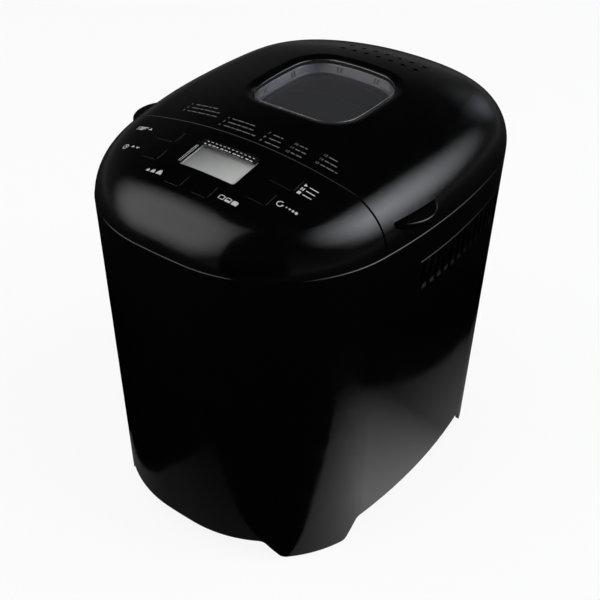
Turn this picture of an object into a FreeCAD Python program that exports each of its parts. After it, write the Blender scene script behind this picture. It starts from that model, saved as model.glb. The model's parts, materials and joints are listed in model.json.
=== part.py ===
import FreeCAD, Part
import math
import os

# Compact bread machine, millimetres, +Z up, front towards -Y.

# Body plan: four long arcs joined by corner arcs, tapering from the lid seam to the base
half_width = 110.9
half_depth = 145.0
side_radius = 433.0
front_radius = 540.0
corner_radius = 91.0
side_taper = 6.8
front_taper = 2.3
seam_height = 238.0
shell_wall = 2.5
rim_chamfer = 0.35

# Feet: the skirt is cut away between the corners
skirt_height = 18.4
skirt_lift = 1.5
front_foot_width = 44.9
side_foot_width = 71.0
arch_run = 10.0
arch_round = 5.0
foot_inset_x = 38.9
foot_inset_y = 57.0
foot_post_radius = 11.0
pad_radius = 10.0
pad_height = 4.0

# Top surface: a long front sweep, a steeper fall behind, and a crown from side to side
lid_rise = 48.1
crest_from_back = 95.9
front_sweep = 1366.0
panel_break_behind_split = 54.8
panel_sweep = 971.0
rear_sweep = 185.0
crown_radius = 357.0
edge_round = 35.6
inner_edge_round = 31.0
top_wall = 2.5

# Seams and general fits
seam_gap = 0.6
panel_depth = 80.2
split_gap = 0.8
split_round = 0.35
fit_gap = 0.3
press_gap = 0.02
running_gap = 0.05

# Side vents
vent_drop = 23.5
vent_height = 20.0
vent_front_y = -26.0
vent_pitch = 8.6
vent_count = 13
vent_slot = 4.3
vent_recess = 1.2
vent_slope = 3.0

# Lid: window, steam holes and thumb tabs
window_before_oven = 2.5
window_half = 40.0
window_bow_radius = 260.0
window_corner = 22.0
window_gap = 0.3
dish_radius = 8.0
dish_depth = 2.2
dish_pad = 11.0
glass_thickness = 2.5
glass_ledge = 4.0
steam_columns = 7
steam_pitch = 10.0
steam_behind_window = 22.5
steam_row_pitch = 11.7
steam_radius = 1.9
tab_behind_split = 29.8
tab_radius = 22.8
tab_overhang = 5.6
tab_above_seam = 17.0
tab_thickness = 6.5
tab_taper = 3.5
tab_round = 1.2
liner_drop = 13.5
liner_sheet = 1.2
liner_margin = 5.0
liner_round = 10.0
liner_flange = 1.5
seal_width = 5.0
seal_offset = 4.0

# Hinge at the rear
hinge_x = 35.0
hinge_offset = 5.0
hinge_knuckle_radius = 4.3
hinge_pin_radius = 2.0
hinge_arm_width = 14.0
hinge_side_knuckle = 6.0
hinge_side_gap = 0.4
hinge_arm_reach = 22.0
hinge_arm_thickness = 3.0
hinge_plate_height = 18.0
hinge_plate_drop = 6.0
hinge_plate_thickness = 3.5
hinge_screw_spread = 10.0

# Control panel
display_from_front = 56.0
display_half_x = 22.3
display_half_y = 13.4
lens_thickness = 2.0
lcd_half_x = 21.0
lcd_half_y = 12.2
lcd_gap = 0.4
back_key_x = 45.4
back_key_behind_display = 7.4
back_key_half_x = 8.6
back_key_half_y = 6.0
front_key_x = 41.8
front_key_before_display = 11.2
front_key_half_x = 6.7
front_key_half_y = 5.8
pair_key_x = 10.6
pair_key_before_display = 25.0
pair_key_half_x = 6.2
pair_key_half_y = 5.8
key_corner = 1.6
key_gap = 0.35
key_proud = 0.5
key_flange = 1.0
key_flange_thickness = 1.2
key_travel = 1.0
key_stem_radius = 2.5
board_drop = 17.0
board_thickness = 1.6
board_half_x = 58.0
board_back = 14.0
board_front = -30.0
switch_half = 3.0
switch_button_radius = 1.6
switch_button_height = 1.0
board_post_radius = 3.0
board_post_x = 30.0
tongue_wall = 1.5

# Deck and oven chamber
deck_drop = 3.0
deck_thickness = 2.5
oven_from_front = 165.0
oven_half_x = 82.0
oven_half_y = 68.0
oven_corner = 28.0
oven_floor = 62.0
oven_sheet = 1.0
oven_flange = 9.0
cable_hole_x = 40.0
cable_hole_half = 9.0

# Bread pan
pan_lift_gap = 20.0
pan_below_deck = 39.0
pan_half_x = 68.0
pan_half_y = 54.0
pan_corner = 22.0
pan_taper = 5.0
pan_sheet = 1.5
pan_rim = 3.0
pan_rim_height = 3.0
pan_ring_radius = 36.0
pan_ring_wall = 2.0
pan_ring_height = 16.0
seat_wall = 6.0
seat_height = 12.0
clip_width = 12.0
clip_sheet = 1.0
clip_height = 16.0
ear_width = 12.0
ear_sheet = 2.0
ear_below = 14.0
ear_above = 8.0
pivot_above_rim = 3.0
bail_wire_radius = 2.5
bail_length = 54.0
bail_side_gap = 0.5
bail_corner = 20.0
bail_bend = 3.2

# Drive line
shaft_radius = 4.0
shaft_bottom = 25.4
shaft_into_coupling = 7.0
coupling_radius = 10.0
coupling_hub_low = 4.0
coupling_hub_high = 8.0
dog_height = 5.0
dog_half_width = 3.0
dog_inner = 5.0
dog_gap = 0.5
wing_hub = 3.5
bush_wall = 2.5
bush_length = 7.0
housing_wall = 6.5
housing_flange_radius = 22.0
housing_flange = 3.0
housing_above_floor = 3.0
pan_bush_radius = 9.0
pan_bush_flange = 2.4
pan_bush_boss = 5.5
pan_shaft_above_floor = 50.0
pulley_radius = 46.0
pulley_flange = 2.5
pulley_low = 28.0
pulley_width = 10.0
pulley_web = 3.0
pulley_hub_radius = 9.0
pulley_hub_top = 46.0
pulley_rim = 4.0
belt_width = 7.0
belt_thickness = 1.8
belt_gap = 0.3
clip_ring_radius = 6.5
clip_ring_height = 1.0

# Kneading paddle
paddle_hub_radius = 8.0
paddle_hub_top_radius = 6.5
paddle_hub_height = 24.0
paddle_floor_gap = 1.0
paddle_reach = 34.0
paddle_blade_height = 26.0
paddle_blade_foot = 9.0
paddle_blade_top = 3.5
paddle_blade_round = 1.4
paddle_cap = 1.5

# Motor
motor_from_front = 50.0
motor_half = 31.0
motor_core_low = 64.0
motor_core_high = 92.0
motor_bore_radius = 16.0
motor_air_gap = 0.5
motor_cap_radius = 27.0
motor_cap_height = 10.0
motor_cap_wall = 3.0
motor_shaft_radius = 3.0
motor_shaft_bottom = 27.0
motor_shaft_above_cap = 12.0
motor_pulley_radius = 9.0
motor_pulley_flange = 2.0
motor_mount_spread = 25.0
motor_mount_radius = 5.0
fan_radius = 24.0
fan_height = 8.0
fan_hub_radius = 7.0
fan_blades = 7
fan_blade_thickness = 1.6
fan_lift = 2.0

# Chassis and base
base_plate_low = 20.0
base_plate_thickness = 2.5
chassis_low = 48.0
chassis_thickness = 2.0
chassis_half_x = 72.0
chassis_before_motor = 33.0
chassis_behind_oven = 80.0
chassis_wall_gap = 6.0
post_x = 60.0
post_before_motor = 5.0
post_behind_oven = 50.0
post_radius = 6.0
standoff_x = 60.0
standoff_y = 45.0
standoff_radius = 5.0
screw_radius = 1.6
screw_head_radius = 3.2
screw_head_height = 2.0
screw_length = 14.0
base_slot_count = 7
base_slot_pitch = 9.0
base_slot_width = 4.0
base_slot_length = 44.0
base_slot_behind_motor = 25.0

# Heater, probe and fuse
heater_radius = 3.25
heater_half_x = 66.0
heater_half_y = 55.0
heater_corner = 22.0
heater_above_floor = 14.0
heater_terminal_x = 14.0
heater_bend = 9.0
heater_terminal_length = 11.0
heater_bush_radius = 6.5
heater_bush_length = 10.0
probe_x = 45.0
probe_above_floor = 60.0
probe_radius = 2.5
probe_length = 16.0
probe_flange_radius = 7.0
probe_flange = 2.0
fuse_half_x = 11.0
fuse_half_z = 7.0
fuse_depth = 6.0
fuse_above_floor = 40.0

# Power electronics and cord entry
board_x = 60.0
board_before_motor = 17.0
power_board_length = 54.0
power_board_height = 78.0
relay_half_y = 8.0
relay_depth = 16.0
relay_height = 18.0
coil_half_y = 13.0
coil_depth = 24.0
coil_height = 24.0
terminal_half_y = 18.0
terminal_depth = 11.0
terminal_height = 10.0
part_margin = 6.0
capacitor_x = -60.0
capacitor_behind_motor = 11.0
capacitor_radius = 15.0
capacitor_height = 50.0
strap_wall = 1.2
strap_height = 10.0
strap_foot = 11.0
gland_x = -50.0
gland_z = 44.0
gland_half = 6.0
gland_corner = 2.0
gland_flange_radius = 9.5
gland_flange = 4.0
gland_inside = 12.0
gland_bore_radius = 3.6

# Derived levels
lid_bottom = seam_height + seam_gap
crest_height = seam_height + lid_rise
tab_top = seam_height + tab_above_seam
vent_top = seam_height - vent_drop
vent_bottom = vent_top - vent_height
deck_top = seam_height - deck_drop
oven_flange_top = deck_top + oven_sheet
pan_floor = oven_floor + pan_lift_gap
pan_rim_top = deck_top - pan_below_deck
pivot_height = pan_rim_top + pivot_above_rim
base_plate_top = base_plate_low + base_plate_thickness
chassis_top = chassis_low + chassis_thickness
hinge_z = seam_height + seam_gap / 2

# Derived places, each from the wall or piece that it goes with
base_half_width = half_width - side_taper
base_half_depth = half_depth - front_taper
front_arch_half = half_width - front_foot_width
side_arch_half = half_depth - side_foot_width
foot_x = half_width - foot_inset_x
foot_y = half_depth - foot_inset_y
hinge_y = half_depth + hinge_offset
crest_y = half_depth - crest_from_back
split_y = panel_depth - half_depth
panel_break_y = split_y + panel_break_behind_split
tab_y = split_y + tab_behind_split
tab_reach = half_width + tab_overhang
oven_y = oven_from_front - half_depth
window_y = oven_y - window_before_oven
steam_row_front = window_y + window_half + steam_behind_window
steam_row_back = steam_row_front + steam_row_pitch
display_y = display_from_front - half_depth
back_key_y = display_y + back_key_behind_display
front_key_y = display_y - front_key_before_display
pair_key_y = display_y - pair_key_before_display
motor_y = motor_from_front - half_depth
chassis_front = motor_y - chassis_before_motor
chassis_back = oven_y + chassis_behind_oven
post_front_y = motor_y - post_before_motor
post_back_y = oven_y + post_behind_oven
base_slot_y = motor_y + base_slot_behind_motor
power_board_front = motor_y - board_before_motor
power_board_back = power_board_front + power_board_length
capacitor_y = motor_y + capacitor_behind_motor
gland_front_y = half_depth - shell_wall * 2 - gland_inside

# Working lengths: material under the top block, a length past everything, a small overshoot, a tolerance
block_depth = 40.0
tall = 400.0
past = 1.0
tiny = 1e-3

# Stations of the top surface across and along the machine
crown_columns = 9
crown_rows = 25

V = FreeCAD.Vector
footprint_shift = V(0, (half_depth - hinge_y - hinge_knuckle_radius) / 2, 0)
UP = V(0, 0, 1)
ALONG_X = V(1, 0, 0)
ALONG_Y = V(0, 1, 0)
SIDES = (-1, 1)


# Basic solids
def box(x0, x1, y0, y1, z0, z1):
    return Part.makeBox(x1 - x0, y1 - y0, z1 - z0, V(x0, y0, z0))


def rod(radius, start, axis, length):
    return Part.makeCylinder(radius, length, start, axis)


def ring(outer, inner, x, y, z0, z1):
    return rod(outer, V(x, y, z0), UP, z1 - z0).cut(rod(inner, V(x, y, z0), UP, z1 - z0))


def fuse(shapes):
    shapes = list(shapes)
    return shapes[0].multiFuse(shapes[1:]).removeSplitter() if len(shapes) > 1 else shapes[0]


def group(shapes):
    return Part.makeCompound(list(shapes))


def prism(wire, height):
    return Part.Face(wire).extrude(V(0, 0, height))


# Pieces are modelled about the body's axis and saved about the middle of the whole footprint
def save(name, shape):
    shape.translated(footprint_shift).exportStep("parts/" + name + ".step")


def unit(u, v):
    length = math.hypot(u, v)
    return u / length, v / length


# A closed wire through (u, v, radius) corners, each corner rounded by its radius
def rounded_wire(corners, place):
    count = len(corners)
    marks = []
    for index, (u, v, radius) in enumerate(corners):
        before = corners[index - 1]
        after = corners[(index + 1) % count]
        bx, by = unit(before[0] - u, before[1] - v)
        ax, ay = unit(after[0] - u, after[1] - v)
        half_angle = math.acos(max(-1.0, min(1.0, bx * ax + by * ay))) / 2
        if radius <= 0:
            marks.append((place(u, v), None, place(u, v)))
            continue
        tangent = radius / math.tan(half_angle)
        spread = math.hypot(bx + ax, by + ay)
        nearest = radius / math.sin(half_angle) - radius
        middle = place(u + (bx + ax) / spread * nearest, v + (by + ay) / spread * nearest)
        start = place(u + bx * tangent, v + by * tangent)
        end = place(u + ax * tangent, v + ay * tangent)
        marks.append((start, middle, end))
    edges = []
    for index, (start, middle, end) in enumerate(marks):
        if middle is not None:
            edges.append(Part.Arc(start, middle, end).toShape())
        following = marks[(index + 1) % count][0]
        if (following - end).Length > tiny:
            edges.append(Part.makeLine(end, following))
    return Part.Wire(edges)


def rounded_rectangle(half_x, half_y, radius, x, y, z):
    corners = [(x - half_x, y - half_y, radius), (x + half_x, y - half_y, radius),
               (x + half_x, y + half_y, radius), (x - half_x, y + half_y, radius)]
    return rounded_wire(corners, lambda u, v: V(u, v, z))


def rounded_block(half_x, half_y, radius, x, y, z0, z1):
    return prism(rounded_rectangle(half_x, half_y, radius, x, y, z0), z1 - z0)


# A bowed outline: side arcs and front arcs joined by tangent corner arcs, all moved in by inset
def bowed_wire(half_x, half_y, side_r, front_r, corner_r, inset, y, z):
    side_x = half_x - side_r
    front_y = half_y - front_r
    side_span = side_r - corner_r
    front_span = front_r - corner_r
    apart = math.hypot(side_x, front_y)
    along = (side_span ** 2 - front_span ** 2 + apart ** 2) / (2 * apart)
    across = math.sqrt(side_span ** 2 - along ** 2)
    ux, uy = -side_x / apart, front_y / apart
    corner_x = side_x + along * ux - across * uy
    corner_y = along * uy + across * ux
    side_dx, side_dy = (corner_x - side_x) / side_span, corner_y / side_span
    front_dx, front_dy = corner_x / front_span, (corner_y - front_y) / front_span
    mid_length = math.hypot(side_dx + front_dx, side_dy + front_dy)
    mid_dx, mid_dy = (side_dx + front_dx) / mid_length, (side_dy + front_dy) / mid_length
    reach = corner_r - inset

    def at(dx, dy, sx, sy):
        return V(sx * (corner_x + reach * dx), y + sy * (corner_y + reach * dy), z)

    def on_side(sx, sy):
        return at(side_dx, side_dy, sx, sy)

    def on_front(sx, sy):
        return at(front_dx, front_dy, sx, sy)

    def on_corner(sx, sy):
        return at(mid_dx, mid_dy, sx, sy)

    right = V(half_x - inset, y, z)
    left = V(inset - half_x, y, z)
    back = V(0, y + half_y - inset, z)
    front = V(0, y - half_y + inset, z)
    arcs = [(on_side(1, -1), right, on_side(1, 1)), (on_side(1, 1), on_corner(1, 1), on_front(1, 1)),
            (on_front(1, 1), back, on_front(-1, 1)), (on_front(-1, 1), on_corner(-1, 1), on_side(-1, 1)),
            (on_side(-1, 1), left, on_side(-1, -1)), (on_side(-1, -1), on_corner(-1, -1), on_front(-1, -1)),
            (on_front(-1, -1), front, on_front(1, -1)), (on_front(1, -1), on_corner(1, -1), on_side(1, -1))]
    return Part.Wire([Part.Arc(*arc).toShape() for arc in arcs])


# Outline of the tapered body at a height, moved in from the outer wall by inset
def body_wire(inset, z):
    share = z / seam_height
    half_x = base_half_width + side_taper * share
    half_y = base_half_depth + front_taper * share
    return bowed_wire(half_x, half_y, side_radius, front_radius, corner_radius, inset, 0, z)


def body_solid(inset, z0, z1):
    return Part.makeLoft([body_wire(inset, z0), body_wire(inset, z1)], True, True)


# Height of the top surface over a point of the plan
def top_height(x, y):
    height = crest_height - x * x / (2 * crown_radius)
    if y > crest_y:
        return height - (y - crest_y) ** 2 / (2 * rear_sweep)
    height -= (crest_y - y) ** 2 / (2 * front_sweep)
    if y < panel_break_y:
        height -= (panel_break_y - y) ** 2 / (2 * panel_sweep)
    return height


# Everything under the top surface lowered by drop
def crown_solid(drop):
    reach_x = half_width + shell_wall
    reach_y = half_depth + shell_wall
    grid = []
    for column in range(crown_columns):
        x = reach_x * (2 * column / (crown_columns - 1) - 1)
        stations = [reach_y * (2 * row / (crown_rows - 1) - 1) for row in range(crown_rows)]
        grid.append([V(x, y, top_height(x, y) - drop) for y in stations])
    surface = Part.BSplineSurface()
    surface.interpolate(grid)
    return surface.toShape().extrude(V(0, 0, -tall))


# The rounded top of the machine: plan outline under the crown, with its upper edge rounded
def rounded_top(wire, drop, rounding):
    column = prism(wire, tall)
    block = column.common(crown_solid(drop))
    top_face = max(block.Faces, key=lambda face: face.CenterOfMass.z)
    return block.makeFillet(rounding, top_face.Edges)


def top_block(inset, rounding):
    wire = bowed_wire(half_width, half_depth, side_radius, front_radius, corner_radius, inset, 0,
                      seam_height - block_depth)
    return rounded_top(wire, inset, rounding)


# The part of a plan shape that lies between two depths under the top surface
def crown_layer(plan, drop_top, drop_bottom):
    return plan.common(crown_solid(drop_top)).cut(crown_solid(drop_bottom))


def window_plan(inset):
    wire = bowed_wire(window_half, window_half, window_bow_radius, window_bow_radius, window_corner, inset,
                      window_y, seam_height - block_depth)
    return prism(wire, tall)


body_outer = body_solid(0, skirt_lift, seam_height)
outer_top = top_block(0, edge_round)
inner_top = top_block(top_wall, inner_edge_round)
oven_outer_x = oven_half_x + oven_sheet
oven_outer_y = oven_half_y + oven_sheet


# Body shell
def skirt_cutter(half, along_x):
    wide = half + arch_run / 2
    narrow = half - arch_run / 2
    beyond = wide + arch_run * 2
    corners = [(-beyond, -tall, 0), (beyond, -tall, 0),
               (beyond, skirt_lift, 0), (wide, skirt_lift, arch_round),
               (narrow, skirt_height, arch_round), (-narrow, skirt_height, arch_round),
               (-wide, skirt_lift, arch_round), (-beyond, skirt_lift, 0)]
    if along_x:
        wire = rounded_wire(corners, lambda u, v: V(-tall, u, v))
        return Part.Face(wire).extrude(V(2 * tall, 0, 0))
    wire = rounded_wire(corners, lambda u, v: V(u, -tall, v))
    return Part.Face(wire).extrude(V(0, 2 * tall, 0))


def make_body_shell():
    rim_low = seam_height - rim_chamfer
    rim = Part.makeLoft([body_wire(0, rim_low), body_wire(rim_chamfer, seam_height)], True, True)
    shell = body_outer.cut(body_solid(-past, rim_low, seam_height).cut(rim))
    shell = shell.cut(body_solid(shell_wall, 0, seam_height + past))
    shell = shell.cut(skirt_cutter(front_arch_half, False))
    shell = shell.cut(skirt_cutter(side_arch_half, True))
    margin = vent_slot
    vent_back_y = vent_front_y + vent_pitch * (vent_count - 1)
    band = box(-tall, tall, vent_front_y - margin, vent_back_y + margin, vent_bottom, vent_top)
    skin = body_outer.cut(body_solid(vent_recess, skirt_lift, seam_height))
    shell = shell.cut(skin.common(band))
    slope_top = vent_top + vent_slope
    slope = Part.makeLoft([body_wire(vent_recess, vent_top), body_wire(0, slope_top)], True, True)
    over = box(-tall, tall, vent_front_y - margin, vent_back_y + margin, vent_top, slope_top)
    shell = shell.cut(body_outer.common(over).cut(slope))
    for index in range(vent_count):
        y = vent_front_y + vent_pitch * index
        shell = shell.cut(box(-tall, tall, y - vent_slot / 2, y + vent_slot / 2, vent_bottom, vent_top))
    for start in hinge_screw_points():
        shell = shell.cut(rod(screw_radius + running_gap, start, -ALONG_Y, screw_length * 2))
    return shell.cut(gland_column(gland_half + running_gap, 0, tall))


def make_base_plate():
    plate = body_solid(shell_wall + fit_gap, base_plate_low, base_plate_top)
    posts = [rod(foot_post_radius, V(sx * foot_x, sy * foot_y, pad_height), UP, base_plate_low - pad_height)
             for sx in SIDES for sy in SIDES]
    plate = fuse([plate] + posts)
    for index in range(base_slot_count):
        x = base_slot_pitch * (index - (base_slot_count - 1) / 2)
        slot = box(x - base_slot_width / 2, x + base_slot_width / 2, base_slot_y - base_slot_length / 2,
                   base_slot_y + base_slot_length / 2, base_plate_low, base_plate_top)
        plate = plate.cut(slot)
    for point in post_points():
        plate = plate.cut(rod(screw_radius + running_gap, V(point[0], point[1], 0), UP, tall))
    return plate


def make_foot_pads():
    return group(rod(pad_radius, V(sx * foot_x, sy * foot_y, 0), UP, pad_height)
                 for sx in SIDES for sy in SIDES)


# Deck, control panel and lid covers
def make_deck():
    deck = body_solid(shell_wall + fit_gap, deck_top - deck_thickness, deck_top)
    deck = deck.cut(rounded_block(oven_outer_x + fit_gap, oven_outer_y + fit_gap, oven_corner,
                                  0, oven_y, 0, tall))
    for side in SIDES:
        x = side * cable_hole_x
        deck = deck.cut(box(x - cable_hole_half, x + cable_hole_half, display_y - cable_hole_half,
                            display_y + cable_hole_half, 0, tall))
    return deck


panel_back = split_y - split_gap
front_half = box(-tall, tall, -tall, panel_back, lid_bottom, tall)
rear_half = box(-tall, tall, split_y, tall, lid_bottom, tall)

# Local frame of the control panel: u along X, v up the slope, n out of the surface
slope_step = 1.0
slope_rise = top_height(0, display_y + slope_step) - top_height(0, display_y - slope_step)
panel_slope = slope_rise / (2 * slope_step)
panel_tilt = math.degrees(math.atan(panel_slope))
panel_origin = V(0, display_y, top_height(0, display_y))
panel_frame = FreeCAD.Placement(panel_origin, FreeCAD.Rotation(ALONG_X, panel_tilt))
panel_normal = panel_frame.Rotation.multVec(UP)


def on_panel(shape):
    placed = shape.copy()
    placed.Placement = panel_frame
    return placed


# Local position of the surface point over a plan position
def panel_point(x, y):
    return panel_frame.inverse().multVec(V(x, y, top_height(x, y)))


KEYS = {
    "key_program": (-back_key_x, back_key_y, back_key_half_x, back_key_half_y),
    "key_timer": (-front_key_x, front_key_y, front_key_half_x, front_key_half_y),
    "key_weight": (-pair_key_x, pair_key_y, pair_key_half_x, pair_key_half_y),
    "key_crust": (pair_key_x, pair_key_y, pair_key_half_x, pair_key_half_y),
    "key_cycle": (front_key_x, front_key_y, front_key_half_x, front_key_half_y),
    "key_start": (back_key_x, back_key_y, back_key_half_x, back_key_half_y),
}


def key_column(key, grow):
    x, y, half_x, half_y = key
    local = panel_point(x, y)
    return on_panel(rounded_block(half_x + grow, half_y + grow, key_corner + grow, local.x, local.y,
                                  -tall, tall))


def display_column(grow):
    return on_panel(rounded_block(display_half_x + grow, display_half_y + grow, key_corner + grow, 0, 0,
                                  -tall, tall))


def board_posts(radius):
    rows = (board_back - board_post_radius * 2, board_front + board_post_radius * 2)
    return [on_panel(rod(radius, V(side * board_post_x, row, -board_drop), UP, board_drop))
            for side in SIDES for row in rows]


# The upper edge of a cover along the split between panel and lid
def round_split_edge(cover, y):
    edges = [edge for edge in cover.Edges
             if abs(edge.BoundBox.YMin - y) < tiny and edge.BoundBox.YLength < tiny
             and edge.BoundBox.ZMax > lid_bottom + past]
    return cover.makeFillet(split_round, edges)


# Edges where the window hole meets the top surface
def hole_edges(cover, inset):
    reach = window_half - inset + tiny
    low = top_height(window_half, window_y - window_half) - glass_ledge
    return [edge for edge in cover.Edges
            if edge.BoundBox.XMax < reach and edge.BoundBox.XMin > -reach
            and edge.BoundBox.YMax < window_y + reach and edge.BoundBox.YMin > window_y - reach
            and edge.BoundBox.ZMin > low]


def make_control_panel():
    cavity = inner_top.common(box(-tall, tall, -tall, panel_back - top_wall, 0, tall))
    panel = round_split_edge(outer_top.common(front_half), panel_back).cut(cavity)
    low = deck_top
    outside = body_solid(shell_wall + fit_gap, low, seam_height)
    hollow = body_solid(shell_wall + fit_gap + tongue_wall, low, seam_height)
    tongue = outside.cut(hollow).common(box(-tall, tall, -tall, panel_back, low, tall))
    sill = body_solid(shell_wall + fit_gap, low, seam_height).common(
        box(-tall, tall, panel_back - top_wall, panel_back, low, tall))
    bridge_outside = prism(bowed_wire(half_width, half_depth, side_radius, front_radius, corner_radius,
                                      rim_chamfer * 2, 0, seam_height), seam_gap)
    bridge_hollow = prism(bowed_wire(half_width, half_depth, side_radius, front_radius, corner_radius,
                                     shell_wall + fit_gap + tongue_wall, 0, seam_height), seam_gap)
    bridge = bridge_outside.cut(bridge_hollow).common(box(-tall, tall, -tall, panel_back, 0, tall))
    sill_top = box(-tall, tall, panel_back - top_wall, panel_back, seam_height, seam_height + seam_gap)
    sill_top = sill_top.common(bridge_outside)
    posts = fuse(board_posts(board_post_radius)).common(outer_top)
    panel = fuse([panel, tongue, sill, bridge, sill_top, posts])
    panel = panel.cut(display_column(fit_gap))
    for key in KEYS.values():
        panel = panel.cut(key_column(key, key_gap))
    return panel


def make_key(key):
    x, y, half_x, half_y = key
    local = panel_point(x, y)
    flange_top = top_wall + fit_gap
    flange_bottom = flange_top + key_flange_thickness
    cap = crown_layer(key_column(key, 0), -key_proud, flange_bottom)
    flange = crown_layer(key_column(key, key_gap + key_flange), flange_top, flange_bottom)
    low = -board_drop + board_thickness + switch_half + switch_button_height + key_travel + fit_gap
    stem = on_panel(rod(key_stem_radius, V(local.x, local.y, low), UP, local.z - top_wall - low))
    return fuse([cap, flange, stem])


def make_display_lens():
    return crown_layer(display_column(0), 0, lens_thickness)


def make_lcd():
    low = -board_drop + board_thickness
    high = panel_point(display_half_x, display_y).z - lens_thickness - lcd_gap
    return on_panel(box(-lcd_half_x, lcd_half_x, -lcd_half_y, lcd_half_y, low, high))


def make_control_board():
    board = box(-board_half_x, board_half_x, board_front, board_back,
                -board_drop, -board_drop + board_thickness)
    return on_panel(board).cut(group(board_posts(board_post_radius + fit_gap)))


def make_switches():
    switches = []
    low = -board_drop + board_thickness
    for x, y, half_x, half_y in KEYS.values():
        local = panel_point(x, y)
        case = box(local.x - switch_half, local.x + switch_half, local.y - switch_half, local.y + switch_half,
                   low, low + switch_half)
        button = rod(switch_button_radius, V(local.x, local.y, low), UP, switch_half + switch_button_height)
        switches.append(on_panel(fuse([case, button])))
    return group(switches)


def steam_holes():
    holes = []
    for index in range(steam_columns):
        x = steam_pitch * (index - (steam_columns - 1) / 2)
        for y in (steam_row_front, steam_row_back):
            holes.append(rod(steam_radius, V(x, y, lid_bottom + block_depth / 2), UP, tall))
    return group(holes)


# Thumb tabs: half-moon ledges with a flat top and a tapered underside
def thumb_tab(side):
    x = side * (tab_reach - tab_radius)
    low = tab_top - tab_thickness
    top = rod(tab_radius, V(x, tab_y, low + tab_taper), UP, tab_thickness - tab_taper)
    foot = Part.makeCone(tab_radius - tab_taper, tab_radius, tab_taper, V(x, tab_y, low), UP)
    tab = fuse([top, foot])
    return tab.makeFillet(tab_round, [edge for edge in tab.Edges if edge.BoundBox.ZMin > tab_top - tab_round])


# The window lies in a dish: the rounded edge of a slightly smaller hole, cut back to the window outline
def make_lid_cover():
    cavity = inner_top.common(box(-tall, tall, split_y + top_wall, tall, 0, tall))
    cover = round_split_edge(outer_top.common(rear_half), split_y)
    cover = fuse([cover] + [thumb_tab(side) for side in SIDES]).cut(cavity)
    pad = crown_layer(window_plan(-dish_radius), top_wall / 2, dish_pad)
    hole_inset = dish_radius - math.sqrt(dish_radius ** 2 - (dish_radius - dish_depth) ** 2)
    cover = fuse([cover, pad]).cut(window_plan(hole_inset))
    cover = cover.makeFillet(dish_radius, hole_edges(cover, hole_inset))
    cover = cover.cut(window_plan(0))
    cover = cover.cut(steam_holes())
    return cover.cut(group(hinge_strap(side) for side in SIDES))


def dome_plan(inset):
    return rounded_rectangle(oven_half_x + liner_margin - inset, oven_half_y + liner_margin - inset,
                             oven_corner - inset, 0, oven_y, lid_bottom - block_depth)


def make_lid_liner():
    outside = rounded_top(dome_plan(0), liner_drop, liner_round)
    hollow = rounded_top(dome_plan(liner_sheet), liner_drop + liner_sheet, liner_round - liner_sheet)
    above = box(-tall, tall, -tall, tall, lid_bottom, tall)
    wire = bowed_wire(half_width, half_depth, side_radius, front_radius, corner_radius, top_wall + fit_gap, 0,
                      lid_bottom)
    front = split_y + top_wall + fit_gap
    flange = prism(wire, liner_flange).common(box(-tall, tall, front, tall, 0, tall)).common(inner_top)
    liner = fuse([outside.common(above), flange]).cut(hollow)
    return liner.cut(window_plan(glass_ledge))


def make_inner_glass():
    return crown_layer(window_plan(glass_ledge / 2), liner_drop - glass_thickness, liner_drop)


def make_window_frame():
    plan = window_plan(window_gap).cut(window_plan(glass_ledge))
    return crown_layer(plan, dish_depth + glass_thickness, liner_drop - glass_thickness)


def make_window_glass():
    return crown_layer(window_plan(window_gap), dish_depth, dish_depth + glass_thickness)


def make_lid_seal():
    inner_x = oven_half_x + seal_offset
    inner_y = oven_half_y + seal_offset
    outer = rounded_block(inner_x + seal_width, inner_y + seal_width, oven_corner + seal_width, 0, oven_y,
                          oven_flange_top + fit_gap, lid_bottom)
    outer = outer.common(body_solid(shell_wall + fit_gap, deck_top, lid_bottom))
    return outer.cut(rounded_block(inner_x, inner_y, oven_corner, 0, oven_y, 0, tall))


# Hinge: two brackets on the body, two arms on the lid, a pin through each
def hinge_strap(side):
    low = lid_bottom + liner_flange
    return box(side * hinge_x - hinge_arm_width / 2, side * hinge_x + hinge_arm_width / 2,
               hinge_y - hinge_arm_reach, hinge_y, low, low + hinge_arm_thickness)


def make_hinge_arms():
    arms = []
    for side in SIDES:
        x0 = side * hinge_x - hinge_arm_width / 2
        start = V(x0, hinge_y, hinge_z)
        bore = rod(hinge_pin_radius + running_gap, start, ALONG_X, hinge_arm_width)
        knuckle = rod(hinge_knuckle_radius, start, ALONG_X, hinge_arm_width)
        arms.append(fuse([knuckle, hinge_strap(side)]).cut(bore))
    return group(arms)


def hinge_bracket_span(side):
    half = hinge_arm_width / 2 + hinge_side_gap + hinge_side_knuckle
    return side * hinge_x - half, side * hinge_x + half


def hinge_screw_points():
    z = seam_height - hinge_plate_drop - hinge_plate_height / 2
    y = half_depth + hinge_plate_thickness
    return [V(side * hinge_x + turn * hinge_screw_spread, y, z) for side in SIDES for turn in SIDES]


def make_hinge_brackets():
    brackets = []
    plate_top = seam_height - hinge_plate_drop
    outside = half_depth + hinge_plate_thickness
    for side in SIDES:
        x0, x1 = hinge_bracket_span(side)
        plate = box(x0, x1, 0, outside, plate_top - hinge_plate_height, plate_top)
        pieces = [plate]
        for start in (x0, x1 - hinge_side_knuckle):
            end = start + hinge_side_knuckle
            pieces.append(box(start, end, 0, outside, plate_top, seam_height - seam_gap))
            pieces.append(rod(hinge_knuckle_radius, V(start, hinge_y, hinge_z), ALONG_X, hinge_side_knuckle))
        bracket = fuse(pieces).cut(body_outer)
        bracket = bracket.cut(rod(hinge_pin_radius + press_gap, V(x0, hinge_y, hinge_z), ALONG_X, x1 - x0))
        brackets.append(bracket)
    brackets = group(brackets)
    for start in hinge_screw_points():
        brackets = brackets.cut(rod(screw_radius + running_gap, start, -ALONG_Y, screw_length))
    return brackets


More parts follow.
